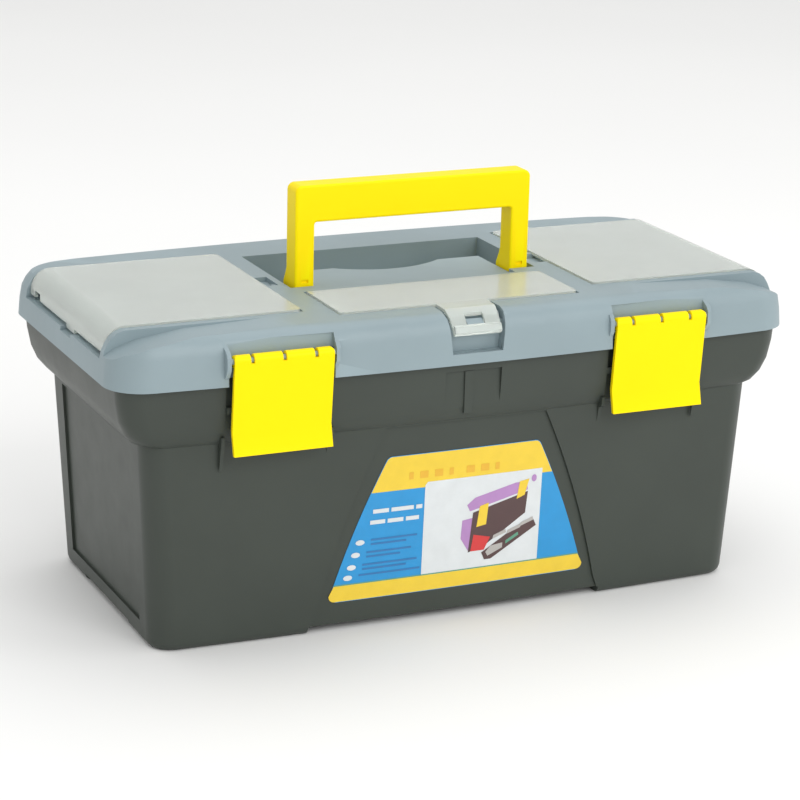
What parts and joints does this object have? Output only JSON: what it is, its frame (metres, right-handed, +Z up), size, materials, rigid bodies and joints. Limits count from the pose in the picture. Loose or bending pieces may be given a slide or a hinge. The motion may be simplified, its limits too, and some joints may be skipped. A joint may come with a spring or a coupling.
{
  "type": "toolbox with tray",
  "caption": "Long plastic toolbox with a flared rim, hinged lid with clear-covered bins, folding bail handle, snap latches and a lift-out tray.",
  "frame": {"origin": "middle of the footprint, on the surface the box stands on", "axes": "+X along the box, -Y towards the latches and the label, +Z up"},
  "size_m": [0.412, 0.208, 0.2382],
  "materials": {
    "tub_plastic": "dark grey-green moulded polypropylene, fine satin grain",
    "lid_plastic": "blue-grey moulded polypropylene, satin",
    "yellow_plastic": "bright yellow moulded plastic, satin",
    "clear_plastic": "milky translucent moulded plastic",
    "tray_plastic": "dark moulded polypropylene",
    "divider_plastic": "blue-grey sheet plastic",
    "printed_label": "printed sticker, glossy",
    "steel": "drawn wire"
  },
  "bodies": {
    "tub": {"tub": "tub_plastic", "front_label": "printed_label", "lid_hinge_pin_left": "steel", "lid_hinge_pin_right": "steel"},
    "lid": {"lid": "lid_plastic", "latch_pin_left": "lid_plastic", "latch_pin_right": "lid_plastic", "handle_pin_left": "steel", "handle_pin_right": "steel", "bin_divider_left": "divider_plastic", "bin_divider_right": "divider_plastic", "centre_divider_left": "divider_plastic", "centre_divider_right": "divider_plastic"},
    "latch_left": {"latch_left": "yellow_plastic"},
    "latch_right": {"latch_right": "yellow_plastic"},
    "handle": {"carry_handle": "yellow_plastic"},
    "cover_left": {"cover_left": "clear_plastic"},
    "cover_right": {"cover_right": "clear_plastic"},
    "cover_centre": {"cover_centre": "clear_plastic"},
    "tray": {"tray": "tray_plastic", "tray_divider_front_left": "divider_plastic", "tray_divider_front_right": "divider_plastic", "tray_divider_rear": "divider_plastic"}
  },
  "joints": [
    {"name": "lid_hinge", "type": "hinge", "parent": "tub", "child": "lid", "pos_m": [0, 0.1006, 0.151], "axis": [-1, 0, 0], "range_deg": [0, 105]},
    {"name": "latch_left", "type": "hinge", "parent": "lid", "child": "latch_left", "pos_m": [-0.1137, -0.1006, 0.167], "axis": [-1, 0, 0], "range_deg": [0, 120]},
    {"name": "latch_right", "type": "hinge", "parent": "lid", "child": "latch_right", "pos_m": [0.1137, -0.1006, 0.167], "axis": [-1, 0, 0], "range_deg": [0, 120]},
    {"name": "handle_fold", "type": "hinge", "parent": "lid", "child": "handle", "pos_m": [0, -0.0087, 0.173], "axis": [-1, 0, 0], "range_deg": [0, 90]},
    {"name": "cover_left", "type": "hinge", "parent": "lid", "child": "cover_left", "pos_m": [-0.1975, 0, 0.1725], "axis": [0, -1, 0], "range_deg": [0, 100]},
    {"name": "cover_right", "type": "hinge", "parent": "lid", "child": "cover_right", "pos_m": [0.1975, 0, 0.1725], "axis": [0, 1, 0], "range_deg": [0, 100]},
    {"name": "cover_centre", "type": "hinge", "parent": "lid", "child": "cover_centre", "pos_m": [0, -0.0316, 0.1792], "axis": [-1, 0, 0], "range_deg": [0, 95]},
    {"name": "tray_lift", "type": "slide", "parent": "tub", "child": "tray", "axis": [0, 0, 1], "range_m": [0, 0.0765]}
  ],
  "couplings": [
    {"joint": "tray_lift", "follows": "lid_hinge", "m_per_rad": 0.0415}
  ]
}
